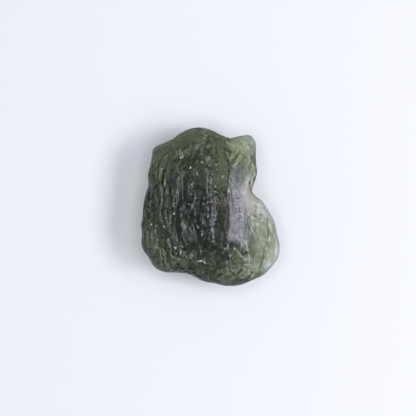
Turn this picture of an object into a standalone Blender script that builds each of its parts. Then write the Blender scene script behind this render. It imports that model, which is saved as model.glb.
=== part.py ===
"""Moldavite: one raw, naturally etched piece of green tektite glass.

The stone lies on its flattest side. +Z is up, +Y is the stone's long way and
+X its short way. The origin is on the surface it lies on, under the middle of
its outline. Lengths below are in millimetres and angles in degrees.
"""
import bpy
import numpy as np

MM = 0.001

# The outline seen from above: how far the edge lies from the plan centre, going
# round from +X towards +Y. The short radii are the notch on the right and the
# dip between the broad top and the knob beside it.
OUTLINE = [
    (0, 8.9), (7, 8.2), (14, 7.3), (22, 7.05), (29, 7.75), (37, 8.9), (44, 9.85),
    (52, 11.6), (59, 12.5), (65, 12.2), (72, 11.25), (80, 11.35), (88, 11.95),
    (99, 12.3), (110, 12.05), (118, 11.85), (129, 12.05), (137, 11.6), (148, 10.6),
    (156, 9.8), (166, 9.75), (176, 9.7), (188, 10.1), (199, 10.65), (210, 11.45),
    (226, 12.0), (236, 11.6), (249, 10.4), (258, 10.55), (268, 11.1), (282, 12.05),
    (297, 12.6), (310, 12.95), (325, 12.85), (334, 11.95), (345, 10.6), (353, 9.6),
]
# The outline's own middle, measured from the plan centre.
OUTLINE_MIDDLE = (0.37, 0.25)
# Inside the edge, the notch and the lumps fade out over this many degrees.
OUTLINE_BLUR = 26

# The body is a rounded block, blunter above the rim than below it: 2 would make
# an ellipsoid, more makes it boxier and less more pointed.
UPPER_BLOCKINESS = 2.5
LOWER_BLOCKINESS = 1.3

# The rim is the widest contour. Its height above the ground, from the left side
# to the right, as (x, height); then its rise along the right bank, as x, y,
# height and spread.
RIM_PROFILE = [(-10, 4.1), (-3, 3.8), (2, 3.9), (6, 4.2), (11, 3.9)]
RIM_FORMS = [(6.2, 3.0, 1.2, 2.8)]

# The upper side's crest, as (y, x) down its length, and where it starts and
# ends. The upper side rises to it from the left, as (distance from the crest,
# height), and arches over along it, highest at this y.
CREST_LINE = [(11, 3.1), (7.2, 2.9), (2.7, 2.7), (-1.0, 2.65), (-4.0, 2.5), (-6.3, 2.9), (-11, 3.6)]
CREST_ENDS = (-8.5, 9.5)
CREST_PROFILE = [(-13, 6.6), (-9, 7.3), (-6, 7.6), (-3, 7.9), (-1.2, 8.1), (-0.4, 8.3), (0, 8.45)]
CREST_ARCH = 0.005
CREST_TOP = 2.5

# The smooth scoop right of the crest: a steep lip, as (distance, drop), then a
# slope that levels out, as (distance, drop) in units of its width, which grows
# down its length, as (y, width). Its smooth skin starts this far from the crest,
# reaches this many widths and fades out over this distance.
SCOOP_LIP = [(0, 0), (0.15, 0.2), (0.35, 0.33), (0.6, 0.36), (1, 0.37)]
SCOOP_WIDTH = [(9, 1.2), (5, 1.5), (1, 1.7), (-1, 1.8), (-2.5, 2.2), (-4, 2.6), (-7, 2.8)]
SCOOP_PROFILE = [(0, 0), (0.7, 0.29), (1.4, 0.56), (2.1, 0.78), (3, 1.0), (4.5, 1.3), (8, 1.7)]
SCOOP_ENDS = (-7.5, 8.5)
SMOOTH_START = 0.5
SMOOTH_REACH = 2.0
SMOOTH_FADE = 1.4

# Past the crest's ends the upper side is a plain dome, as (x, height).
END_PROFILE = [(-10, 6.6), (-4, 7.6), (1, 7.9), (5, 6.8), (8, 5.6), (11, 4.8)]
END_FADE = 2.6

# Lumps (+) and hollows (-) of the upper side: x, y, height, spread.
UPPER_FORMS = [
    (6.0, 10.2, 0.7, 1.3),  # the knob at the top right
    (3.4, 9.6, -0.9, 1.1),  # the saddle beside it
    (3.3, -6.4, -0.4, 0.8),  # a dent at the scoop's lower end
    (8.6, -4.6, 0.3, 1.6),  # the right lobe's hump
    (-5.6, -6.3, 0.45, 1.5),  # the lump at the lower left
    (-1.0, -8.0, -0.35, 1.4),  # the ledge along the bottom edge
    (-6.3, 6.6, 0.3, 1.8),  # the upper left shoulder
    (0.6, 5.2, -0.3, 1.2),  # the dent under the top end
]

# The underside hangs lowest a little left of the middle, and is pressed this
# far below the ground there, which leaves the small flat face it rests on. It
# rises by these shares of a distance along X and Y.
KEEL_PRESS = 0.6
KEEL_MIDDLE = (-2.5, -1.5)
KEEL_TILT = (0.05, 0.04)

# Hollows of the underside: x, y, depth, spread.
LOWER_FORMS = [
    (-5.0, 7.6, 1.4, 2.0),
    (-8.6, 4.6, 0.6, 1.6),
    (-7.4, -6.0, 0.6, 2.0),
    (0.5, 9.5, 0.6, 1.8),
    (1.6, 4.6, 1.2, 1.3),
    (1.6, 1.4, 0.9, 1.1),
]

# Under the right side the stone is hollow, which leaves a thin flange: where
# the hollow starts, as (y, x), how far it takes to reach its depth, and how far
# the flange hangs below the rim, as (y, depth).
UNDERCUT_LINE = [(12, -0.6), (5, -1.0), (1, -1.2), (-2, 0.3), (-5, 2.2), (-9, 5.2), (-12, 7.0)]
UNDERCUT_RUN = 6.6
SKIRT_DEPTH = [(12, 2.9), (8, 3.0), (5, 2.3), (2, 0.8), (0, 0.35), (-3, 1.6), (-6, 2.5), (-12, 2.6)]

# Natural etching: hollows that meet in crests, drawn out along the flow of the
# glass, which runs the stone's long way. Width, stretch along Y, depth, and how
# keen the crests are. A flatness of 1 makes bowls, more makes level floors. The
# scoop and the flange's underside were left smoother; the flange starts over
# this run of X, and fades out over as much below the lobe.
SWELL_SIZE = 4.6
SWELL_HEIGHT = 0.3
FURROWS = (1.9, 2.8, 0.9, 12)
SCALLOPS = (2.5, 1.3, 0.85, 8)
FLOOR_FLATNESS = 1.3
FLOW_WAVE = (0.55, 3.2)  # how far the furrows wander, and over what length
SMOOTH_IN_SCOOP = 0.93
FLANGE_RUN = (2.6, 5.0)
# How far up a face looks, from -1 to 1, where it starts and ends counting as the
# upper side; the shares of the stone's height, from the rim, over which the
# etching starts, so that it leaves the outline alone; and the shares over which
# it deepens inwards from the margins, and how deep its furrows are there.
TOP_SIDE = (-0.3, 0.4)
RIM_SPAN = (0.1, 0.55)
MARGIN_SPAN = (0.3, 0.8)
MARGIN_FURROWS = 0.45
SCATTER = 0.7  # how far the hollows' centres stray from an even grid
MEAN_BOWL = 0.2  # taken off, so that etching leaves the stone's size as it is
CELL_PRIMES = (73856093, 19349663, 83492791)
RANDOM_ROWS = 4096

GRID = (34, 38, 14)  # steps along the edges of the box that the stone is drawn on

GLASS_GREEN = (0.085, 0.115, 0.07)
GLASS_ROUGHNESS = 0.2
GLASS_IOR = 1.49


def smooth_curve(at, knots, period=None):
    """Cubic curve through (place, value) knots, read at the places in at."""
    place, value = np.array(knots, float).T
    if period:
        place = np.concatenate([place[-2:] - period, place, place[:2] + period])
        value = np.concatenate([value[-2:], value, value[:2]])
        at = np.mod(at, period)
    if place[0] > place[-1]:
        place, value = place[::-1], value[::-1]
    slope = np.gradient(value, place)
    at = np.clip(at, place[0], place[-1])
    i = np.clip(np.searchsorted(place, at) - 1, 0, len(place) - 2)
    step = place[i + 1] - place[i]
    t = (at - place[i]) / step
    rise = value[i + 1] - value[i]
    start, end = slope[i] * step, slope[i + 1] * step
    return value[i] + t * (start + t * (3 * rise - 2 * start - end + t * (start + end - 2 * rise)))


def ease(value, low, high):
    """0 at low, 1 at high, with a smooth step between them."""
    t = np.clip((value - low) / (high - low), 0, 1)
    return t * t * (3 - 2 * t)


def lattice_random(cells, seed, columns):
    """Repeatable random numbers from 0 to 1 for whole-number cells: each cell's number,
    scrambled by large primes, picks a row of one long list."""
    keys = (cells.astype(np.int64) * CELL_PRIMES).sum(-1)
    picked = np.random.default_rng(seed).random((RANDOM_ROWS, columns))
    return picked[np.mod(keys ^ (keys >> 7), RANDOM_ROWS)]


def gradient_noise(points, seed):
    """Perlin's noise: smooth swellings and hollows, about one to a unit length."""
    cell = np.floor(points)
    inside = points - cell
    blend = inside**3 * (inside * (inside * 6 - 15) + 10)
    total = np.zeros(len(points))
    for corner in np.ndindex(2, 2, 2):
        slope = lattice_random(cell + corner, seed, 3) * 2 - 1
        weight = np.prod(np.where(corner, blend, 1 - blend), axis=1)
        total += weight * ((inside - corner) * slope).sum(1)
    return total


def etched_hollows(points, seed, keenness):
    """Squared distance to the nearest of many scattered centres, one to a unit cell, as
    a soft minimum: bowls that meet in crests, the more worn the less the keenness.
    About 0 in a bowl's middle, 0.5 on a crest."""
    cell = np.floor(points)
    closeness = np.full(len(points), 1e-9)
    for beside in np.ndindex(3, 3, 3):
        near_cell = cell + np.subtract(beside, 1)
        centre = near_cell + 0.5 + SCATTER * (lattice_random(near_cell, seed, 3) - 0.5)
        closeness += np.exp(-keenness * ((points - centre) ** 2).sum(1))
    return np.maximum(-np.log(closeness) / keenness, 0)


def stretched(points, size):
    """The points in units of a form's width, with Y in units of its length."""
    width, stretch = size[:2]
    return points / (width, width * stretch, width)


def hollows(points, size, seed):
    """etched_hollows at a real width, stretch along Y and depth, level on average."""
    width, stretch, depth, keenness = size
    bowl = etched_hollows(stretched(points, size), seed, keenness)
    return depth * (bowl**FLOOR_FLATNESS * 2 ** (FLOOR_FLATNESS - 1) - MEAN_BOWL)


def wandering(points, wave, seed):
    """The points, pushed sideways by a slow noise, so that furrows wander."""
    amount, length = wave
    shift = amount * gradient_noise(points / length, seed)
    return points + np.stack([shift, 0 * shift, 0 * shift], axis=1)


def outline_radius(angle, inside):
    """The edge's distance along an angle; towards the middle the notch and lumps fade."""
    edge = smooth_curve(angle, OUTLINE, 360)
    offsets = np.linspace(-OUTLINE_BLUR, OUTLINE_BLUR, 9)
    soft = sum(smooth_curve(angle + o, OUTLINE, 360) for o in offsets) / len(offsets)
    return soft + (edge - soft) * inside**3


def forms(x, y, table):
    """The sum of round lumps and hollows, each a bell curve of its own spread."""
    return sum(
        height * np.exp(-((x - cx) ** 2 + (y - cy) ** 2) / (2 * spread**2))
        for cx, cy, height, spread in table
    )


def along(y, ends):
    """1 between two ends of a form that runs along Y, fading out past them."""
    return ease(y, ends[0], ends[0] + END_FADE) * (1 - ease(y, ends[1] - END_FADE, ends[1]))


def scoop_shape(x, y):
    """1 in the smooth scoop right of the crest, 0 away from it."""
    across = x - smooth_curve(y, CREST_LINE)
    reach = SMOOTH_REACH * smooth_curve(y, SCOOP_WIDTH)
    smooth = ease(across, 0, SMOOTH_START) * (1 - ease(across, reach, reach + SMOOTH_FADE))
    return smooth * along(y, SCOOP_ENDS)


def upper_height(x, y):
    """The upper face: rising slowly to the crest, then falling into the scoop, which is
    one profile drawn wider and deeper towards its lower end; past the crest's ends a
    plain dome, with lumps on it all."""
    across = x - smooth_curve(y, CREST_LINE)
    width = smooth_curve(y, SCOOP_WIDTH)
    drop = smooth_curve(across, SCOOP_LIP) + width * smooth_curve(across / width, SCOOP_PROFILE)
    crested = smooth_curve(across, CREST_PROFILE) - drop - CREST_ARCH * (y - CREST_TOP) ** 2
    dome = smooth_curve(x, END_PROFILE)
    return dome + (crested - dome) * along(y, CREST_ENDS) + forms(x, y, UPPER_FORMS)


def undercut(x, y):
    """1 under the thin right-hand flange, 0 under the rest of the stone."""
    start = smooth_curve(y, UNDERCUT_LINE)
    return ease(x, start, start + UNDERCUT_RUN)


def lower_depth(x, y, rim):
    """How far the underside hangs below the rim: down past the ground in the middle,
    where it is cut flat, and hardly at all under the thin right-hand flange."""
    tilt = KEEL_TILT[0] * (x - KEEL_MIDDLE[0]) + KEEL_TILT[1] * (y - KEEL_MIDDLE[1])
    keel = rim + KEEL_PRESS - tilt - forms(x, y, LOWER_FORMS)
    return keel + (smooth_curve(y, SKIRT_DEPTH) - keel) * undercut(x, y)


def body_surface(directions):
    """The body for unit directions: the superellipsoid |flat|^n + |z|^n = 1, its flat
    part stretched to the outline and its height to the crown above and the keel below.
    With it, each point's share of that height: 0 on the rim, 1 in the middle."""
    flat = np.hypot(directions[:, 0], directions[:, 1])
    n = np.where(directions[:, 2] > 0, UPPER_BLOCKINESS, LOWER_BLOCKINESS)
    reach = (flat**n + np.abs(directions[:, 2]) ** n) ** (-1 / n)
    inside, height = flat * reach, directions[:, 2] * reach
    angle = np.degrees(np.arctan2(directions[:, 1], directions[:, 0]))
    radius = inside * outline_radius(angle, inside)
    x, y = radius * np.cos(np.radians(angle)), radius * np.sin(np.radians(angle))
    rim = smooth_curve(x, RIM_PROFILE) + forms(x, y, RIM_FORMS)
    z = rim + height * np.where(height > 0, upper_height(x, y) - rim, lower_depth(x, y, rim))
    return np.stack([x, y, z], axis=1), np.abs(height)


def etching(points, upness, off_rim):
    """How far the larger etching moves the surface outwards at each point."""
    flowing = wandering(points, FLOW_WAVE, 11)
    swell = SWELL_HEIGHT * gradient_noise(points / SWELL_SIZE, 3)
    x, y = points[:, 0], points[:, 1]
    on_top = ease(upness, *TOP_SIDE)
    flange = ease(x, *FLANGE_RUN) * (1 - ease(-y, *FLANGE_RUN))
    calm = 1 - SMOOTH_IN_SCOOP * np.maximum(on_top * scoop_shape(x, y), (1 - on_top) * flange)
    inner = ease(off_rim, *MARGIN_SPAN)
    furrows = (MARGIN_FURROWS + (1 - MARGIN_FURROWS) * inner) * hollows(flowing, FURROWS, 5)
    scallops = inner * hollows(flowing, SCALLOPS, 8)
    etched = on_top * furrows + (1 - on_top) * scallops
    return ease(off_rim, *RIM_SPAN) * (swell + calm * etched)


def box_grid(counts):
    """Six flat grids over a box, joined along its edges: whole-number lattice points,
    and quads whose corners run anticlockwise seen from outside."""
    lattice, quads, made = [], [], 0
    for axis in range(3):
        across, up = (axis + 1) % 3, (axis + 2) % 3
        a, b = np.meshgrid(np.arange(counts[across] + 1), np.arange(counts[up] + 1), indexing="ij")
        for side in (0, counts[axis]):
            place = np.empty((*a.shape, 3), int)
            place[..., axis], place[..., across], place[..., up] = side, a, b
            number = made + np.arange(a.size).reshape(a.shape)
            made += a.size
            corners = [number[:-1, :-1], number[1:, :-1], number[1:, 1:], number[:-1, 1:]]
            if side == 0:
                corners.reverse()
            quads.append(np.stack([c.ravel() for c in corners], axis=1))
            lattice.append(place.reshape(-1, 3))
    lattice, joined = np.unique(np.concatenate(lattice), axis=0, return_inverse=True)
    return lattice, joined.reshape(-1)[np.concatenate(quads)]


def normals_of(points, quads):
    """Each point's outward normal: the sum of its faces' normals, at unit length."""
    p = points[quads]
    face = np.cross(p[:, 2] - p[:, 0], p[:, 3] - p[:, 1])
    total = np.zeros_like(points)
    for axis in range(3):
        weights = np.repeat(face[:, axis], 4)
        total[:, axis] = np.bincount(quads.ravel(), weights=weights, minlength=len(points))
    return total / np.linalg.norm(total, axis=1, keepdims=True)


def glass():
    """Bottle-green natural glass with an etched, satin skin."""
    material = bpy.data.materials.new("moldavite_glass")
    material.use_nodes = True
    shader = material.node_tree.nodes["Principled BSDF"]
    shader.inputs["Base Color"].default_value = (*GLASS_GREEN, 1)
    shader.inputs["Roughness"].default_value = GLASS_ROUGHNESS
    shader.inputs["Metallic"].default_value = 0.0
    shader.inputs["IOR"].default_value = GLASS_IOR
    return material


def make_stone():
    """The whole stone as one closed mesh, drawn over a finely divided box."""
    lattice, quads = box_grid(GRID)
    # The tangent evens out the steps once the box is blown up to a sphere.
    over_box = np.tan((lattice / GRID * 2 - 1) * np.pi / 4)
    directions = over_box / np.linalg.norm(over_box, axis=1, keepdims=True)
    points, off_rim = body_surface(directions)
    normals = normals_of(points, quads)
    points += normals * etching(points, normals[:, 2], off_rim)[:, None]
    points[:, :2] -= OUTLINE_MIDDLE
    points[:, 2] = np.maximum(points[:, 2], 0)  # the small flat face that it rests on
    mesh = bpy.data.meshes.new("moldavite")
    mesh.from_pydata((points * MM).tolist(), [], quads.tolist())
    mesh.shade_smooth()
    mesh.materials.append(glass())
    stone = bpy.data.objects.new("moldavite", mesh)
    bpy.context.scene.collection.objects.link(stone)
    return stone


def main():
    for item in list(bpy.data.objects):
        bpy.data.objects.remove(item)
    make_stone()


main()
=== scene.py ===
"""A raw moldavite, lying on a pale surface and seen from straight above."""

import bpy
import numpy as np
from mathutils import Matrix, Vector


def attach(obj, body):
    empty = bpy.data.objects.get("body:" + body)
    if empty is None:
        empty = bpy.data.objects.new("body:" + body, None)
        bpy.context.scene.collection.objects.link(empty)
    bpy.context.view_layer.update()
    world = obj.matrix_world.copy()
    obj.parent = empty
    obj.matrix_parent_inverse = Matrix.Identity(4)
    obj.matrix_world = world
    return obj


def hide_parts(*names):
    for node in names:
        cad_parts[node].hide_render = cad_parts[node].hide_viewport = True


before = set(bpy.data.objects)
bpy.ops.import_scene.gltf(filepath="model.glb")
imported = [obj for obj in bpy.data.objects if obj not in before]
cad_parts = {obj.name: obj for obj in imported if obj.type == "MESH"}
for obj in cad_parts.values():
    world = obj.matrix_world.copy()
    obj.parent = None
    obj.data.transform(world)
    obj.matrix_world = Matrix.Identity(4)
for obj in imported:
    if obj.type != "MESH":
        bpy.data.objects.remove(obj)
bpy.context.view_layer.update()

# The stone's body. Moldavite is a natural glass: one piece, cooled from a melt and
# then etched in the ground. Here it is a rounded block drawn out to the outline that
# is seen from above, in millimetres and degrees.
MM = 0.001

# The outline seen from above: how far the edge lies from the plan centre, going
# round from +X towards +Y. The short radii are the notch on the right and the
# dip between the broad top and the knob beside it.
OUTLINE = [
    (0, 8.8), (7, 8.2), (14, 7.3), (22, 7.05), (28, 7.75), (35, 8.9), (44, 10), (49, 10.9),
    (54, 12.1), (60, 12.55), (66, 11.8), (72, 11.05), (79, 11.1), (88, 11.75), (98, 12.2),
    (110, 12), (117, 11.65), (125, 11.85), (133, 12.05), (138, 11.35), (145, 10.65),
    (151, 10.3), (158, 9.6), (168, 9.6), (181, 9.75), (189, 9.95), (194, 10.35),
    (201, 10.6), (207, 11.25), (213, 11.55), (220, 11.6), (228, 11.95), (235, 11.65),
    (244, 10.8), (250, 10.4), (260, 10.6), (267, 11.05), (274, 11.3), (284, 12.05),
    (293, 12.5), (302, 12.7), (309, 13), (318, 12.95), (325, 12.85), (332, 12.15),
    (340, 10.95), (348, 10.2), (355, 9.35),
]
# The outline's own middle, measured from the plan centre.
OUTLINE_MIDDLE = (0.37, 0.25)
# Inside the edge, the notch and the lumps fade out over this many degrees, as a
# mean of this many outlines turned against each other.
OUTLINE_BLUR = 26
BLUR_STEPS = 9

# The body is a rounded block, blunter above the rim than below it: 2 would make
# an ellipsoid, more makes it boxier and less more pointed.
UPPER_BLOCKINESS = 2.5
LOWER_BLOCKINESS = 1.3

# The rim is the widest contour. Its height above the ground, from the left side
# to the right, as (x, height); then its rise along the right bank, as x, y,
# height and spread.
RIM_PROFILE = [(-10, 4.1), (-3, 3.8), (2, 3.9), (6, 4.2), (11, 3.9)]
RIM_FORMS = [(6.2, 3.0, 1.2, 2.8)]

# The upper side's crest, as (y, x) down its length, and where it starts and
# ends. The upper side rises to it from the left, as (distance from the crest,
# height), and arches over along it, highest at this y.
CREST_LINE = [(11, 3.1), (7.2, 2.9), (2.7, 2.7), (-1.0, 2.65), (-4.0, 2.5), (-6.3, 2.9), (-11, 3.6)]
CREST_ENDS = (-8.5, 9.5)
CREST_PROFILE = [(-13, 6.6), (-9, 7.3), (-6, 7.6), (-3, 7.9), (-1.2, 8.1), (-0.4, 8.3), (0, 8.45)]
CREST_ARCH = 0.005
CREST_TOP = 2.5

# The smooth scoop right of the crest: a steep lip, as (distance, drop), then a
# slope that levels out, as (distance, drop) in units of its width, which grows
# down its length, as (y, width). Its smooth skin starts this far from the crest,
# reaches this many widths and fades out over this distance.
SCOOP_LIP = [(0, 0), (0.15, 0.2), (0.35, 0.33), (0.6, 0.36), (1, 0.37)]
SCOOP_WIDTH = [(9, 1.2), (5, 1.5), (1, 1.7), (-1, 1.8), (-2.5, 2.2), (-4, 2.6), (-7, 2.8)]
SCOOP_PROFILE = [(0, 0), (0.7, 0.29), (1.4, 0.56), (2.1, 0.78), (3, 1.0), (4.5, 1.3), (8, 1.7)]
SCOOP_ENDS = (-7.5, 8.5)
SMOOTH_START = 0.5
SMOOTH_REACH = 2.0
SMOOTH_FADE = 1.4

# Past the crest's ends the upper side is a plain dome, as (x, height).
END_PROFILE = [(-10, 6.6), (-4, 7.6), (1, 7.9), (5, 6.8), (8, 5.6), (11, 4.8)]
END_FADE = 2.6

# Lumps (+) and hollows (-) of the upper side: x, y, height, spread.
UPPER_FORMS = [
    (6.0, 10.2, 0.7, 1.3),  # the knob at the top right
    (3.4, 9.6, -0.9, 1.1),  # the saddle beside it
    (3.3, -6.4, -0.4, 0.8),  # a dent at the scoop's lower end
    (8.6, -4.6, 0.3, 1.6),  # the right lobe's hump
    (-5.6, -6.3, 0.45, 1.5),  # the lump at the lower left
    (-1.0, -8.0, -0.35, 1.4),  # the ledge along the bottom edge
    (-6.3, 6.6, 0.3, 1.8),  # the upper left shoulder
    (0.6, 5.2, -0.3, 1.2),  # the dent under the top end
]

# The underside hangs lowest a little left of the middle, and is pressed this
# far below the ground there, which leaves the small flat face it rests on. It
# rises by these shares of a distance along X and Y.
KEEL_PRESS = 0.6
KEEL_MIDDLE = (-2.5, -1.5)
KEEL_TILT = (0.05, 0.04)

# Hollows of the underside: x, y, depth, spread.
LOWER_FORMS = [
    (-5.0, 7.6, 1.4, 2.0),
    (-8.6, 4.6, 0.6, 1.6),
    (-7.4, -6.0, 0.6, 2.0),
    (0.5, 9.5, 0.6, 1.8),
    (1.6, 4.6, 1.2, 1.3),
    (1.6, 1.4, 0.9, 1.1),
]

# Under the right side the stone is hollow, which leaves a thin flange: where
# the hollow starts, as (y, x), how far it takes to reach its depth, and how far
# the flange hangs below the rim, as (y, depth).
UNDERCUT_LINE = [(12, -0.6), (5, -1.0), (1, -1.2), (-2, 0.3), (-5, 2.2), (-9, 5.2), (-12, 7.0)]
UNDERCUT_RUN = 6.6
SKIRT_DEPTH = [(12, 2.9), (8, 3.0), (5, 2.3), (2, 0.8), (0, 0.35), (-3, 1.6), (-6, 2.5), (-12, 2.6)]


def smooth_curve(at, knots, period=None):
    """Curve through (place, value) knots, read at the places in at: between two knots
    it is the cubic that has their values and their slopes."""
    place, value = np.array(knots, float).T
    if period:
        place = np.concatenate([place[-2:] - period, place, place[:2] + period])
        value = np.concatenate([value[-2:], value, value[:2]])
        at = np.mod(at, period)
    if place[0] > place[-1]:
        place, value = place[::-1], value[::-1]
    slope = np.gradient(value, place)
    at = np.clip(at, place[0], place[-1])
    i = np.clip(np.searchsorted(place, at) - 1, 0, len(place) - 2)
    step = place[i + 1] - place[i]
    t = (at - place[i]) / step
    rise = value[i + 1] - value[i]
    start, end = slope[i] * step, slope[i + 1] * step
    return value[i] + t * (start + t * (3 * rise - 2 * start - end + t * (start + end - 2 * rise)))


def ease(value, low, high):
    """0 at low, 1 at high, and between them 3 t^2 - 2 t^3 of the share t of the way."""
    t = np.clip((value - low) / (high - low), 0, 1)
    return t * t * (3 - 2 * t)


def outline_radius(angle, inside):
    """The outline's distance from the centre along an angle: its own at the edge, and
    inside it a blurred one, mixed by the cube of the share of the way out."""
    edge = smooth_curve(angle, OUTLINE, 360)
    offsets = np.linspace(-OUTLINE_BLUR, OUTLINE_BLUR, BLUR_STEPS)
    soft = sum(smooth_curve(angle + o, OUTLINE, 360) for o in offsets) / len(offsets)
    return soft + (edge - soft) * inside**3


def forms(x, y, table):
    """The sum of round lumps and hollows, each a bell curve of its own spread."""
    return sum(
        height * np.exp(-((x - cx) ** 2 + (y - cy) ** 2) / (2 * spread**2))
        for cx, cy, height, spread in table
    )


def along(y, ends):
    """1 between two ends of a form that runs along Y, with a smooth step at each."""
    return ease(y, ends[0], ends[0] + END_FADE) * (1 - ease(y, ends[1] - END_FADE, ends[1]))


def scoop_shape(x, y):
    """1 in the smooth scoop right of the crest, 0 away from it: smooth steps across it,
    as far as its width reaches there, times those at its ends."""
    across = x - smooth_curve(y, CREST_LINE)
    reach = SMOOTH_REACH * smooth_curve(y, SCOOP_WIDTH)
    smooth = ease(across, 0, SMOOTH_START) * (1 - ease(across, reach, reach + SMOOTH_FADE))
    return smooth * along(y, SCOOP_ENDS)


def upper_height(x, y):
    """The upper face: rising slowly to the crest, then falling into the scoop, which is
    one profile drawn wider and deeper towards its lower end; past the crest's ends a
    plain dome, with lumps on it all."""
    across = x - smooth_curve(y, CREST_LINE)
    width = smooth_curve(y, SCOOP_WIDTH)
    drop = smooth_curve(across, SCOOP_LIP) + width * smooth_curve(across / width, SCOOP_PROFILE)
    crested = smooth_curve(across, CREST_PROFILE) - drop - CREST_ARCH * (y - CREST_TOP) ** 2
    dome = smooth_curve(x, END_PROFILE)
    return dome + (crested - dome) * along(y, CREST_ENDS) + forms(x, y, UPPER_FORMS)


def undercut(x, y):
    """1 under the thin right-hand flange, 0 under the rest of the stone, with a smooth
    step across from the line where the hollow starts."""
    start = smooth_curve(y, UNDERCUT_LINE)
    return ease(x, start, start + UNDERCUT_RUN)


def lower_depth(x, y, rim):
    """How far the underside hangs below the rim: down past the ground in the middle,
    where it is cut flat, and hardly at all under the thin right-hand flange."""
    tilt = KEEL_TILT[0] * (x - KEEL_MIDDLE[0]) + KEEL_TILT[1] * (y - KEEL_MIDDLE[1])
    keel = rim + KEEL_PRESS - tilt - forms(x, y, LOWER_FORMS)
    return keel + (smooth_curve(y, SKIRT_DEPTH) - keel) * undercut(x, y)


def body_surface(directions):
    """The body for unit directions: the superellipsoid |flat|^n + |z|^n = 1, its flat
    part stretched to the outline and its height to the crown above and the keel below.
    With it, each point's share of that height: 0 on the rim, 1 in the middle."""
    flat = np.hypot(directions[:, 0], directions[:, 1])
    n = np.where(directions[:, 2] > 0, UPPER_BLOCKINESS, LOWER_BLOCKINESS)
    reach = (flat**n + np.abs(directions[:, 2]) ** n) ** (-1 / n)
    inside, height = flat * reach, directions[:, 2] * reach
    angle = np.degrees(np.arctan2(directions[:, 1], directions[:, 0]))
    radius = inside * outline_radius(angle, inside)
    x, y = radius * np.cos(np.radians(angle)), radius * np.sin(np.radians(angle))
    rim = smooth_curve(x, RIM_PROFILE) + forms(x, y, RIM_FORMS)
    z = rim + height * np.where(height > 0, upper_height(x, y) - rim, lower_depth(x, y, rim))
    return np.stack([x, y, z], axis=1), np.abs(height)


# The stone's skin. Acid water in the ground etched it: bowls that meet in crests, drawn
# out along the old flow of the glass, with finer furrows, hummocks and pits on them.
# A form is its width, its stretch along Y, its depth, and how keen its crests are.
SWELL_SIZE = 4.6
SWELL_HEIGHT = 0.3
FURROWS = (1.9, 2.8, 0.9, 12)  # on the upper side
SCALLOPS = (2.5, 1.3, 0.85, 8)  # on the underside
BROAD_FURROWS = (1.25, 3.4, 0.6, 25)  # on the upper side, left of the crest
FINE_FURROWS = (0.6, 5.0, 0.9, 25)
HUMMOCKS = (0.8, 1.1, 0.42, 5)  # right of the crest
FINE_SCALLOPS = (1.2, 1.5, 0.2, 5)
SCOOP_STREAKS = (0.55, 7.0, 0.03, 20)
PITS = (0.62, 1.3, 0.25)  # everywhere: width, stretch and depth
SMALL_PITS = (0.36, 1.2, 0.1)
PIT_SHARES = (0.15, 0.75)  # the smallest and the largest pit's radius, in widths
FLOOR_FLATNESS = 1.3  # 1 for bowls, more for level floors between narrow crests
FLOW_WAVE = (0.55, 3.2)  # how far the furrows wander, and over what length
FINE_WAVE = (0.35, 1.1)
SCATTER = 0.7  # how far the hollows' centres stray from an even grid
MEAN_BOWL = 0.2  # taken off, so that etching leaves the stone's size as it is
CELL_PRIMES = (73856093, 19349663, 83492791)
RANDOM_ROWS = 4096
# How much of the etching the smooth scoop and the flange's underside lack, the
# larger and the finer. The flange starts over this run of X and, for the larger
# etching, ends over the same run of -Y.
SMOOTH_IN_SCOOP = 0.93
FINE_SMOOTHING = 0.95
FLANGE_RUN = (2.6, 5.0)
# How far up a face looks, from -1 to 1, where it starts and ends counting as the
# upper side, for the larger and for the finer etching.
TOP_SIDE = (-0.3, 0.4)
UPPER_SKIN = (0.0, 0.6)
# The shares of the stone's height, from the rim, over which the etching starts and
# over which it deepens inwards; the furrows' and the finer relief's share near the
# rim and at it; and how much sooner the underside counts as off the rim.
RIM_SPAN = (0.1, 0.55)
MARGIN_SPAN = (0.3, 0.8)
MARGIN_FURROWS = 0.45
MARGIN_RELIEF = 0.5
RIM_RELIEF = 0.12
UNDER_RIM = 1.0
# Where the furrows give way to hummocks, as distances past the crest, and the
# patches without fine furrows: their size, and the noise's values at their edge.
FURROW_END = (-0.2, 1.0)
PATCH_LENGTH = 2.7
PATCH_EDGE = (-0.45, 0.35)


def lattice_random(cells, seed, columns):
    """Repeatable random numbers from 0 to 1 for whole-number cells: each cell's number,
    scrambled by large primes, picks a row of one long list."""
    keys = (cells.astype(np.int64) * CELL_PRIMES).sum(-1)
    picked = np.random.default_rng(seed).random((RANDOM_ROWS, columns))
    return picked[np.mod(keys ^ (keys >> 7), RANDOM_ROWS)]


def gradient_noise(points, seed):
    """Smooth swellings and hollows, about one to a unit length: each corner of a cell
    has a random slope through 0, and the eight are blended by 6 t^5 - 15 t^4 + 10 t^3."""
    cell = np.floor(points)
    inside = points - cell
    blend = inside**3 * (inside * (inside * 6 - 15) + 10)
    total = np.zeros(len(points))
    for corner in np.ndindex(2, 2, 2):
        slope = lattice_random(cell + corner, seed, 3) * 2 - 1
        weight = np.prod(np.where(corner, blend, 1 - blend), axis=1)
        total += weight * ((inside - corner) * slope).sum(1)
    return total


def etched_hollows(points, seed, keenness):
    """Squared distance to the nearest of many scattered centres, one to a unit cell, as
    a soft minimum: bowls that meet in crests, the more worn the less the keenness.
    About 0 in a bowl's middle, 0.5 on a crest."""
    cell = np.floor(points)
    closeness = np.full(len(points), 1e-9)  # not 0, so that its logarithm is finite
    for beside in np.ndindex(3, 3, 3):
        near_cell = cell + np.subtract(beside, 1)
        centre = near_cell + 0.5 + SCATTER * (lattice_random(near_cell, seed, 3) - 0.5)
        closeness += np.exp(-keenness * ((points - centre) ** 2).sum(1))
    return np.maximum(-np.log(closeness) / keenness, 0)


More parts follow.
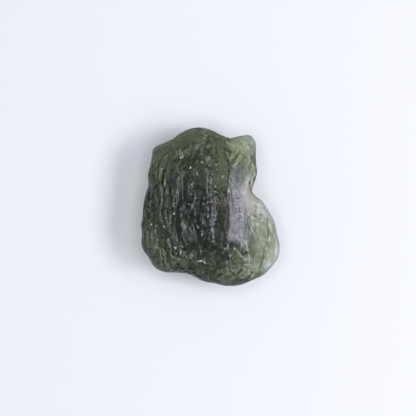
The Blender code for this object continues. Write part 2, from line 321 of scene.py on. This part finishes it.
def single_pits(points, seed):
    """Round pits of mixed sizes, one to a cell and most of them small, on a level
    ground: each a bowl of (distance / radius)^2 - 1, so -1 in its middle and 0 outside
    it, and shallower where its radius is under half a cell."""
    cell = np.floor(points)
    depth = np.zeros(len(points))
    for beside in np.ndindex(3, 3, 3):
        near_cell = cell + np.subtract(beside, 1)
        drawn = lattice_random(near_cell, seed, 4)
        away = ((points - near_cell - drawn[:, :3]) ** 2).sum(1)
        size = PIT_SHARES[0] + (PIT_SHARES[1] - PIT_SHARES[0]) * drawn[:, 3] ** 2
        depth = np.minimum(depth, np.minimum(away / size**2 - 1, 0) * np.minimum(size * 2, 1))
    return depth


def stretched(points, size):
    """The points in units of a form's width, with Y in units of its length."""
    width, stretch = size[:2]
    return points / (width, width * stretch, width)


def hollows(points, size, seed):
    """etched_hollows at a real width, stretch along Y and depth, level on average. A
    power of it flattens the floors, and the factor 2^(power - 1) leaves a crest at 0.5."""
    width, stretch, depth, keenness = size
    bowl = etched_hollows(stretched(points, size), seed, keenness)
    return depth * (bowl**FLOOR_FLATNESS * 2 ** (FLOOR_FLATNESS - 1) - MEAN_BOWL)


def wandering(points, wave, seed):
    """The points, pushed along X by a slow noise, so that furrows wander."""
    amount, length = wave
    shift = amount * gradient_noise(points / length, seed)
    return points + np.stack([shift, 0 * shift, 0 * shift], axis=1)


def etching(points, upness, off_rim):
    """How far the larger etching moves the surface outwards at each point: a slow swell,
    with furrows above and scallops below, fading out to the rim; the scoop and the
    flange's underside are nearly free of furrows and scallops."""
    flowing = wandering(points, FLOW_WAVE, seed=11)
    swell = SWELL_HEIGHT * gradient_noise(points / SWELL_SIZE, seed=3)
    x, y = points[:, 0], points[:, 1]
    on_top = ease(upness, *TOP_SIDE)
    flange = ease(x, *FLANGE_RUN) * (1 - ease(-y, *FLANGE_RUN))
    calm = 1 - SMOOTH_IN_SCOOP * np.maximum(on_top * scoop_shape(x, y), (1 - on_top) * flange)
    inner = ease(off_rim, *MARGIN_SPAN)
    furrows = hollows(flowing, FURROWS, seed=5) * (MARGIN_FURROWS + (1 - MARGIN_FURROWS) * inner)
    scallops = inner * hollows(flowing, SCALLOPS, seed=8)
    etched = on_top * furrows + (1 - on_top) * scallops
    return ease(off_rim, *RIM_SPAN) * (swell + calm * etched)


def fine_etching(points, upness, off_rim):
    """The finer furrows, hummocks, pits and streaks, as a distance outwards: shallow
    near the rim and nearly none in the scoop and under the flange."""
    flowing = wandering(wandering(points, FLOW_WAVE, seed=11), FINE_WAVE, seed=12)
    x, y = points[:, 0], points[:, 1]
    on_top = ease(upness, *UPPER_SKIN)
    off_rim = off_rim * (1 + UNDER_RIM * (1 - on_top))
    scoop = on_top * scoop_shape(x, y)
    flange = (1 - on_top) * ease(x, *FLANGE_RUN)
    rim_calm = RIM_RELIEF + (1 - RIM_RELIEF) * ease(off_rim, *RIM_SPAN)
    rim_calm *= MARGIN_RELIEF + (1 - MARGIN_RELIEF) * ease(off_rim, *MARGIN_SPAN)
    furrowed = 1 - ease(x - smooth_curve(y, CREST_LINE), *FURROW_END)
    patchy = ease(gradient_noise(points / PATCH_LENGTH, seed=24), *PATCH_EDGE)
    furrows = hollows(flowing, BROAD_FURROWS, seed=26)
    furrows += patchy * hollows(flowing, FINE_FURROWS, seed=21)
    hummocks = hollows(flowing, HUMMOCKS, seed=27)
    scallops = hollows(flowing, FINE_SCALLOPS, seed=22)
    streaks = hollows(flowing, SCOOP_STREAKS, seed=25)
    pits = PITS[2] * single_pits(stretched(points, PITS), seed=31)
    pits += SMALL_PITS[2] * single_pits(stretched(points, SMALL_PITS), seed=32)
    top = furrowed * furrows + (1 - furrowed) * hummocks
    relief = on_top * top + (1 - on_top) * scallops + pits
    return rim_calm * ((1 - FINE_SMOOTHING * np.maximum(scoop, flange)) * relief + scoop * streaks)


# The stone as one closed mesh: the surface of a finely divided box, blown up to the
# body and moved outwards by the etching. It is pressed flat where it lies, and carries
# three shares for its glass: how smooth, how thin and how near the rim it is there.
GRID = (144, 160, 84)  # the steps along the box's edges, about 0.12 mm each
WORN_ABOVE = 8.2  # crests are worn down to half of what they rise above this
WEB_DEPTH = (0.5, 1.9)  # the flange's depths over which its glass stops being a clear web
MARGIN_MATT = (0.08, 0.5)  # the shares of the height over which the ground rim ends


def box_grid(counts):
    """Six flat grids over a box, joined along its edges: whole-number lattice points,
    and quads whose corners run anticlockwise seen from outside."""
    lattice, quads, made = [], [], 0
    for axis in range(3):
        across, up = (axis + 1) % 3, (axis + 2) % 3
        a, b = np.meshgrid(np.arange(counts[across] + 1), np.arange(counts[up] + 1), indexing="ij")
        for side in (0, counts[axis]):
            place = np.empty((*a.shape, 3), int)
            place[..., axis], place[..., across], place[..., up] = side, a, b
            number = made + np.arange(a.size).reshape(a.shape)
            made += a.size
            corners = [number[:-1, :-1], number[1:, :-1], number[1:, 1:], number[:-1, 1:]]
            if side == 0:
                corners.reverse()
            quads.append(np.stack([c.ravel() for c in corners], axis=1))
            lattice.append(place.reshape(-1, 3))
    lattice, joined = np.unique(np.concatenate(lattice), axis=0, return_inverse=True)
    return lattice, joined.reshape(-1)[np.concatenate(quads)]


def normals_of(points, quads):
    """Each point's outward normal: the sum of its faces' normals, at unit length."""
    p = points[quads]
    face = np.cross(p[:, 2] - p[:, 0], p[:, 3] - p[:, 1])
    total = np.zeros_like(points)
    for axis in range(3):
        weights = np.repeat(face[:, axis], 4)
        total[:, axis] = np.bincount(quads.ravel(), weights=weights, minlength=len(points))
    return total / np.linalg.norm(total, axis=1, keepdims=True)


def mesh_of(name, points, quads):
    """A mesh from arrays of points and four-cornered faces, shaded smooth."""
    mesh = bpy.data.meshes.new(name)
    mesh.from_pydata(points.tolist(), [], quads.tolist())
    mesh.validate()
    mesh.shade_smooth()
    return mesh


lattice, quads = box_grid(GRID)
over_box = np.tan((lattice / GRID * 2 - 1) * np.pi / 4)  # evens out the steps on a sphere
directions = over_box / np.linalg.norm(over_box, axis=1, keepdims=True)
points, off_rim = body_surface(directions)
normals = normals_of(points, quads)
points += normals * etching(points, normals[:, 2], off_rim)[:, None]
normals = normals_of(points, quads)
points += normals * fine_etching(points, normals[:, 2], off_rim)[:, None]
points[:, :2] -= OUTLINE_MIDDLE
points[:, 2] = np.clip(points[:, 2], 0, (points[:, 2] + WORN_ABOVE) / 2)
stone = bpy.data.objects.new("moldavite_stone", mesh_of("moldavite_stone", points * MM, quads))
bpy.context.scene.collection.objects.link(stone)

x, y = points[:, 0], points[:, 1]
on_top = ease(normals[:, 2], *UPPER_SKIN)
skin_shares = {
    "scoop": on_top * scoop_shape(x + OUTLINE_MIDDLE[0], y + OUTLINE_MIDDLE[1]),
    "web": undercut(x, y) * (1 - ease(smooth_curve(y, SKIRT_DEPTH), *WEB_DEPTH)),
    "margin": 1 - ease(off_rim * (1 + UNDER_RIM * (1 - on_top)), *MARGIN_MATT),
}
for name, share in skin_shares.items():
    stone.data.attributes.new(name, "FLOAT", "POINT").data.foreach_set("value", share)


# The stone's glass: clear silica glass, bottle green from iron, so that thin edges
# are light and the thick middle is nearly black. The melt froze before it was mixed,
# so it is streaked along the flow, and etching left its skin between glossy and satin.
GLASS_IOR = 1.49
ABSORPTION_COLOUR = "#EAECE3"
ABSORPTION_DENSITY = 1380.0
# Roughness of the skin, from its glossiest to its dullest patches, and what the
# ground rim and the scoop add to it.
SKIN_ROUGHNESS = (0.12, 0.24)
MARGIN_ROUGHNESS = 0.4
SATIN_ROUGHNESS = 0.03
# Tints of the skin: the schlieren's deep and pale streaks, the olive bands between
# them, the cloudy patches, the clean glass of the web, and at the rim a faint blue
# tint that is a painted reflection of bluish light at the edge.
DEEP_STREAK, PALE_STREAK = "#DFE6D5", "#F9FFF2"
OLIVE_BAND = "#F2F3E6"
CLOUD = "#CDD5B8"
CLEAR_WEB = "#FFFFFF"
RIM_BLUE_PAINTED_REFLECTION = "#DCEBF0"
# Sizes of the patterns: the skin's grain and its height, its dull patches, the
# streaks, the bands, the clouds, and how far and over what length the streaks sway.
# The grain is drawn about ten times as coarse as the real one, so that it shows.
GRAIN_SIZE = 0.2381
GRAIN_HEIGHT = 0.08
GRAIN_STRENGTH = 0.5
DULL_PATCH_SIZE = 2.381
STREAK_SIZE = 0.3125
BAND_SIZE = 1.25
CLOUD_SIZE = 1.111
SWAY, SWAY_LENGTH = 0.9, 2.0
ALONG_FLOW = 0.14  # streaks and bands are drawn out by 1 / this along Y
# The noises' values between which each pattern changes over.
DULL_EDGE = (0.35, 0.7)
STREAK_EDGE = (0.38, 0.6)
BAND_EDGE = (0.45, 0.62)
CLOUD_EDGE = (0.49, 0.6)
# The Mix node's colour sockets share their names, so they go by number.
SHARE, FROM, TO, MIXED = 0, 6, 7, 2


def linear(colour):
    """An sRGB hex colour as linear red, green, blue and alpha: near black a straight
    line, above it a power of 2.4, as the sRGB standard has it."""
    value = np.array([int(colour[i : i + 2], 16) for i in (1, 3, 5)]) / 255
    light = np.where(value <= 0.04045, value / 12.92, ((value + 0.055) / 1.055) ** 2.4)
    return (*light, 1.0)


def add_node(tree, kind, settings=(), links=()):
    """A node of that kind, with its properties or sockets set, and sockets linked."""
    node = tree.nodes.new(kind)
    for name, value in dict(settings).items():
        if isinstance(name, int) or name in node.inputs:
            node.inputs[name].default_value = value
        else:
            setattr(node, name, value)
    for name, socket in dict(links).items():
        tree.links.new(socket, node.inputs[name])
    return node


def etched_glass():
    """Natural glass with an etched skin: see-through where it is thin, with streaks
    along the flow, soft glints from its dull patches and a fine grain, and a frosted
    rim with a faint blue tint that is a painted reflection. The tints are on the skin,
    so light takes them twice."""
    material = bpy.data.materials.new("etched_moldavite_glass")
    material.use_nodes = True
    tree = material.node_tree
    tree.nodes.clear()
    place = add_node(tree, "ShaderNodeTexCoord").outputs["Object"]
    scoop, web, margin = (
        add_node(tree, "ShaderNodeAttribute", {"attribute_name": name}).outputs["Fac"]
        for name in ("scoop", "web", "margin")
    )

    dull_patches = add_node(
        tree,
        "ShaderNodeTexNoise",
        {"Scale": 1 / (DULL_PATCH_SIZE * MM), "Detail": 2.0},
        {"Vector": place},
    )
    etched = add_node(
        tree,
        "ShaderNodeMapRange",
        {
            "From Min": DULL_EDGE[0],
            "From Max": DULL_EDGE[1],
            "To Min": SKIN_ROUGHNESS[0],
            "To Max": SKIN_ROUGHNESS[1],
        },
        {"Value": dull_patches.outputs[0]},
    )
    with_rim = add_node(
        tree,
        "ShaderNodeMath",
        {"operation": "MULTIPLY_ADD", 1: MARGIN_ROUGHNESS},
        {0: margin, 2: etched.outputs[0]},
    )
    roughness = add_node(
        tree,
        "ShaderNodeMath",
        {"operation": "MULTIPLY_ADD", 1: SATIN_ROUGHNESS},
        {0: scoop, 2: with_rim.outputs[0]},
    )
    grain = add_node(
        tree,
        "ShaderNodeTexNoise",
        {"Scale": 1 / (GRAIN_SIZE * MM), "Detail": 3.0},
        {"Vector": place},
    )
    bump = add_node(
        tree,
        "ShaderNodeBump",
        {"Strength": GRAIN_STRENGTH, "Distance": GRAIN_HEIGHT * MM},
        {"Height": grain.outputs[0]},
    )

    drift = add_node(
        tree,
        "ShaderNodeTexNoise",
        {"Scale": 1 / (SWAY_LENGTH * MM), "Detail": 1.0},
        {"Vector": place},
    )
    drawn_out = add_node(
        tree,
        "ShaderNodeVectorMath",
        {"operation": "MULTIPLY", 1: (1.0, ALONG_FLOW, 1.0)},
        {0: place},
    )
    swayed = add_node(
        tree,
        "ShaderNodeVectorMath",
        {"operation": "MULTIPLY_ADD", 1: (SWAY * MM, 0.0, 0.0)},
        {0: drift.outputs["Color"], 2: drawn_out.outputs[0]},
    ).outputs[0]
    schlieren = add_node(
        tree,
        "ShaderNodeTexNoise",
        {"Scale": 1 / (STREAK_SIZE * MM), "Detail": 2.0, "Roughness": 0.6},
        {"Vector": swayed},
    )
    streaked = add_node(tree, "ShaderNodeValToRGB", links={"Fac": schlieren.outputs[0]})
    stops = streaked.color_ramp.elements
    for stop, position, colour in zip(stops, STREAK_EDGE, (DEEP_STREAK, PALE_STREAK)):
        stop.position = position
        stop.color = linear(colour)
    tint = streaked.outputs[0]
    for size, edge, colour, pattern_place in (
        (BAND_SIZE, BAND_EDGE, OLIVE_BAND, swayed),
        (CLOUD_SIZE, CLOUD_EDGE, CLOUD, place),
    ):
        noise = add_node(
            tree,
            "ShaderNodeTexNoise",
            {"Scale": 1 / (size * MM), "Detail": 2.0},
            {"Vector": pattern_place},
        )
        share = add_node(
            tree,
            "ShaderNodeMapRange",
            {"From Min": edge[0], "From Max": edge[1]},
            {"Value": noise.outputs[0]},
        )
        tint = add_node(
            tree,
            "ShaderNodeMix",
            {"data_type": "RGBA", "blend_type": "MULTIPLY", TO: linear(colour)},
            {SHARE: share.outputs[0], FROM: tint},
        ).outputs[MIXED]
    # The margin's blue tint is a painted reflection of bluish light at the edge.
    for share, colour in ((web, CLEAR_WEB), (margin, RIM_BLUE_PAINTED_REFLECTION)):
        tint = add_node(
            tree,
            "ShaderNodeMix",
            {"data_type": "RGBA", TO: linear(colour)},
            {SHARE: share, FROM: tint},
        ).outputs[MIXED]

    shader = add_node(
        tree,
        "ShaderNodeBsdfPrincipled",
        {"IOR": GLASS_IOR, "Transmission Weight": 1.0},
        {"Base Color": tint, "Roughness": roughness.outputs[0], "Normal": bump.outputs[0]},
    )
    inside = add_node(
        tree,
        "ShaderNodeVolumeAbsorption",
        {"Color": linear(ABSORPTION_COLOUR), "Density": ABSORPTION_DENSITY},
    )
    add_node(
        tree,
        "ShaderNodeOutputMaterial",
        links={"Surface": shader.outputs[0], "Volume": inside.outputs[0]},
    )
    return material


stone.data.materials.append(etched_glass())


# Marks on the stone's upper skin: scratches, pale because the glass there is crushed
# to powder; painted glints, pale dots and dashes where light glances off the skin;
# pale grey lines along crests, a painted reflection of light; and specks of dry
# rust-brown and buff clay that stuck in pits. Each is a line or a dot: its width,
# then its corners in the plan.
# Painted glints: pale dots and dashes where light glances off the skin.
PAINTED_GLINTS = [
    (0.27, (3.88, -6.0), (3.9, -6.02)),
    (0.17, (-1.5, -7.9), (-1.05, -7.8), (-0.6, -7.95), (-0.3, -8.2)),
    (0.2, (-1.05, 6.8), (-0.8, 6.7)),
    (0.24, (-4.8, -5.85), (-4.7, -5.9)),
    (0.2, (-3.8, -5.7), (-3.7, -5.75)),
    (0.18, (-8.5, -2.4), (-8.45, -2.6)),
    (0.17, (-6.6, -2.7), (-6.55, -2.8)),
    (0.17, (-5.1, -0.8), (-5.1, -0.9)),
    (0.16, (2.95, 0.85), (2.95, 0.75)),
    (0.16, (4.9, -0.9), (5.0, -1.0)),
]
SCRATCHES = [
    (0.16, (5.0, 8.4), (4.5, 7.4), (3.85, 6.1)),
    (0.13, (5.0, 7.5), (4.6, 6.9), (4.2, 6.45)),
    (0.13, (3.7, 8.2), (3.5, 7.5), (3.3, 6.9)),
    (0.13, (6.0, 9.35), (5.4, 9.3), (4.9, 9.1)),
    (0.13, (4.4, 8.6), (4.0, 8.0), (3.7, 7.3)),
    (0.18, (5.45, -4.8), (5.95, -6.4), (6.1, -8.4), (5.6, -8.55)),
    (0.15, (4.0, -6.1), (4.9, -7.1), (5.7, -7.9)),
    (0.15, (2.9, -5.3), (3.1, -6.3), (3.35, -7.2)),
    (0.13, (3.7, -6.4), (3.45, -7.0), (3.4, -7.25)),
    (0.14, (6.3, -1.2), (6.5, -2.6), (6.4, -4.0)),
]
# Painted reflection: pale grey lines along crests, where light glances off them.
CREST_REFLECTION_LINES = [
    (0.12, (-5.2, 3.3), (-5.05, 1.8), (-5.15, 0.2)),
    (0.12, (-3.7, 6.0), (-3.65, 3.8), (-3.8, 1.0)),
    (0.13, (-2.3, 3.6), (-1.85, 1.8), (-2.2, 0.2), (-2.7, -0.9)),
    (0.12, (-4.4, 4.6), (-4.5, 2.6), (-4.4, 1.0)),
    (0.2, (0.0, 5.4), (-0.1, 3.4), (0.1, 1.6)),
    (0.26, (0.5, 4.4), (0.45, 2.0), (0.7, -0.4), (0.6, -2.6)),
    (0.2, (1.0, 1.6), (1.1, -0.6), (0.95, -2.4)),
    (0.12, (-6.2, 1.0), (-6.1, -0.6), (-6.3, -2.0)),
    (0.13, (-1.9, -1.6), (-2.0, -3.2), (-1.8, -4.6)),
]
RUST_SPECKS = [
    (0.3, (0.4, 1.4), (0.5, 1.2)),
    (0.16, (0.25, 1.0), (0.35, 0.9)),
    (0.14, (0.9, 0.5), (1.0, 0.45)),
]
BUFF_SPECKS = [
    (0.16, (1.25, 0.78), (1.95, 0.7)),
    (0.42, (-2.6, -6.9), (-2.55, -7.3)),
    (0.24, (-4.5, -7.5), (-4.0, -7.6)),
    (0.2, (-5.2, -7.2), (-5.0, -7.3)),
]
# Each kind: its material, its dark and light colour, how unevenly wide its lines are,
# down to gaps, and the lines.
MARKS = [
    # Painted reflection: pale grey lines along the crests.
    ("painted_crest_reflections", "#50564F", "#757B71", 2.0, CREST_REFLECTION_LINES),
    ("crushed_glass_scratches", "#6F7B58", "#A9B18E", 1.0, SCRATCHES),
    # Painted glints: pale dots and dashes.
    ("painted_glints_pale_dots", "#A4A99A", "#E0E2D8", 1.0, PAINTED_GLINTS),
    ("rust_brown_clay", "#6B4630", "#8C5C3C", 2.0, RUST_SPECKS),
    ("buff_clay", "#77704F", "#A39A70", 2.0, BUFF_SPECKS),
]
MARK_WANDER = (0.35, 1.2)  # how far the marks wander sideways, and over what length
BREAK_LENGTH = 0.3  # the length over which their widths vary
POWDER_GRAIN = 0.2857  # the mottling's size, coarser than the real powder so that it shows
POWDER_ROUGHNESS = (0.5, 0.8)
FACING_UP = 0.2  # the least that a face's normal points up to take a mark


def line_distance(x, y, corners):
    """Each place's distance to the line through the corners: the least distance to one
    of its stretches, measured to the place's foot on it, or to its nearer end."""
    nearest = np.full(len(x), np.inf)
    for (ax, ay), (bx, by) in zip(corners, corners[1:]):
        share = ((x - ax) * (bx - ax) + (y - ay) * (by - ay)) / ((bx - ax) ** 2 + (by - ay) ** 2)
        share = np.clip(share, 0, 1)
        nearest = np.minimum(nearest, np.hypot(x - ax - share * (bx - ax), y - ay - share * (by - ay)))
    return nearest


def mark_material(name, dark, light):
    """Powdered glass and dry clay, and the painted glints and crest reflections: opaque
    and matt, so that it stays pale where the glass round it is dark, and mottled
    between its two colours."""
    material = bpy.data.materials.new(name)
    material.use_nodes = True
    tree = material.node_tree
    shader = tree.nodes["Principled BSDF"]
    place = add_node(tree, "ShaderNodeTexCoord").outputs["Object"]
    grain = add_node(
        tree,
        "ShaderNodeTexNoise",
        {"Scale": 1 / (POWDER_GRAIN * MM), "Detail": 2.0},
        {"Vector": place},
    )
    colour = add_node(
        tree,
        "ShaderNodeMix",
        {"data_type": "RGBA", FROM: linear(dark), TO: linear(light)},
        {SHARE: grain.outputs[0]},
    )
    roughness = add_node(
        tree,
        "ShaderNodeMapRange",
        {"To Min": POWDER_ROUGHNESS[0], "To Max": POWDER_ROUGHNESS[1]},
        {"Value": grain.outputs[0]},
    )
    tree.links.new(colour.outputs[MIXED], shader.inputs["Base Color"])
    tree.links.new(roughness.outputs[0], shader.inputs["Roughness"])
    return material


middles = points[quads].mean(axis=1)
mark_x, mark_y = middles[:, 0] + OUTLINE_MIDDLE[0], middles[:, 1] + OUTLINE_MIDDLE[1]
mark_x += MARK_WANDER[0] * gradient_noise(middles / MARK_WANDER[1], seed=42)
breaks = gradient_noise(middles / BREAK_LENGTH, seed=41)
facing_up = normals[quads[:, 0], 2] > FACING_UP
slots = np.zeros(len(quads), np.int32)
for slot, (name, dark, light, uneven, lines) in enumerate(MARKS, start=1):
    stone.data.materials.append(mark_material(name, dark, light))
    for width, *corners in lines:
        on_line = line_distance(mark_x, mark_y, corners) < width / 2 * (1 + uneven * breaks)
        slots[on_line & facing_up] = slot
stone.data.polygons.foreach_set("material_index", slots)
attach(stone, "root")
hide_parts("moldavite")


# The surface that the stone lies on: a plain sheet of pale board, matt and nearly
# white, a hair below the rest face so that the two don't share a plane. It isn't part
# of the object. Its sizes are in metres.
FLOOR_SIZE = 1.2
CONTACT_GAP = 0.00003
BOARD_COLOUR = "#F0EFE4"
BOARD_ROUGHNESS = 0.9
CORNERS = [(-1, -1), (1, -1), (1, 1), (-1, 1)]


def pale_board():
    """Plain painted board: one even, matt, nearly white colour with no gloss."""
    material = bpy.data.materials.new("pale_matt_board")
    material.use_nodes = True
    shader = material.node_tree.nodes["Principled BSDF"]
    shader.inputs["Base Color"].default_value = linear(BOARD_COLOUR)
    shader.inputs["Roughness"].default_value = BOARD_ROUGHNESS
    return material


floor_corners = np.array([(x * FLOOR_SIZE / 2, y * FLOOR_SIZE / 2, -CONTACT_GAP) for x, y in CORNERS])
floor_mesh = mesh_of("floor", floor_corners, np.array([[0, 1, 2, 3]]))
floor = bpy.data.objects.new("floor", floor_mesh)
bpy.context.scene.collection.objects.link(floor)
floor.data.materials.append(pale_board())


# The light: a white tent all round, brightest in a ring high up and dark where the
# lens looks in, and two softboxes on the right, which fill the scoop with their
# reflection, brightest in its middle, and throw the faint shadow on the left.
COOL = (0.92, 0.97, 1.18)
# The tent, from the ground up: sine of the height angle, radiance and tint.
TENT = [
    (0.0, 0.8, COOL),
    (0.6, 0.5, COOL),
    (0.85, 0.45, COOL),
    (0.9, 4.4, COOL),
    (0.955, 4.4, COOL),
    (0.972, 0.2, COOL),
]
TENT_STRENGTH = 0.615
# The softboxes: where they stand, their distance, width and height in metres,
# radiance and tint.
SOFTBOXES = {
    "key_softbox": (Vector((0.76, -0.09, 0.65)), 0.5, (0.44, 0.14), 6.0, (0.95, 0.94, 1.13)),
    "bright_core": (Vector((0.77, -0.06, 0.64)), 0.48, (0.12, 0.11), 12.0, (0.97, 0.93, 1.1)),
}


def white_tent():
    """The tent as a world: a colour ramp over the sine of the height angle."""
    world = bpy.data.worlds.new("white_tent")
    world.use_nodes = True
    tree = world.node_tree
    tree.nodes.clear()
    towards = add_node(tree, "ShaderNodeTexCoord").outputs["Generated"]
    height = add_node(tree, "ShaderNodeSeparateXYZ", links={"Vector": towards}).outputs["Z"]
    ramp = add_node(tree, "ShaderNodeValToRGB", links={"Fac": height})
    stops = ramp.color_ramp.elements
    while len(stops) < len(TENT):
        stops.new(1.0)
    for stop, (place, radiance, tint) in zip(stops, TENT):
        stop.position = place
        stop.color = (*(radiance * t for t in tint), 1)
    light = add_node(
        tree,
        "ShaderNodeBackground",
        {"Strength": TENT_STRENGTH},
        {"Color": ramp.outputs[0]},
    )
    add_node(tree, "ShaderNodeOutputWorld", links={"Surface": light.outputs[0]})
    return world


def softbox(name, towards, distance, size, radiance, tint):
    """A rectangular lamp that faces the stone. A flat lamp's power is its radiance
    times pi times its area."""
    lamp = bpy.data.lights.new(name, "AREA")
    lamp.shape = "RECTANGLE"
    lamp.size, lamp.size_y = size
    lamp.energy = radiance * np.pi * size[0] * size[1]
    lamp.color = tint
    box = bpy.data.objects.new(name, lamp)
    box.location = towards.normalized() * distance
    box.rotation_euler = (-towards).to_track_quat("-Z", "Y").to_euler()
    bpy.context.scene.collection.objects.link(box)


bpy.context.scene.world = white_tent()
for name, settings in SOFTBOXES.items():
    softbox(name, *settings)


# The camera looks straight down on the stone, as in the photograph. Its picture
# spans this width at the height of the rim, and the picture's middle is the plan
# centre that the outline is measured from.
VIEW_WIDTH = 62.4
RIM_HEIGHT = 4.0
LENS, SENSOR = 100.0, 36.0
NEAREST, FARTHEST = 0.01, 10.0  # metres
camera_data = bpy.data.cameras.new("camera")
camera_data.lens = LENS
camera_data.sensor_width = SENSOR
camera_data.clip_start = NEAREST
camera_data.clip_end = FARTHEST
camera = bpy.data.objects.new("camera", camera_data)
camera_height = RIM_HEIGHT + VIEW_WIDTH * LENS / SENSOR
camera.location = (-OUTLINE_MIDDLE[0] * MM, -OUTLINE_MIDDLE[1] * MM, camera_height * MM)
bpy.context.scene.collection.objects.link(camera)
bpy.context.scene.camera = camera
bpy.context.scene.view_settings.view_transform = "Standard"
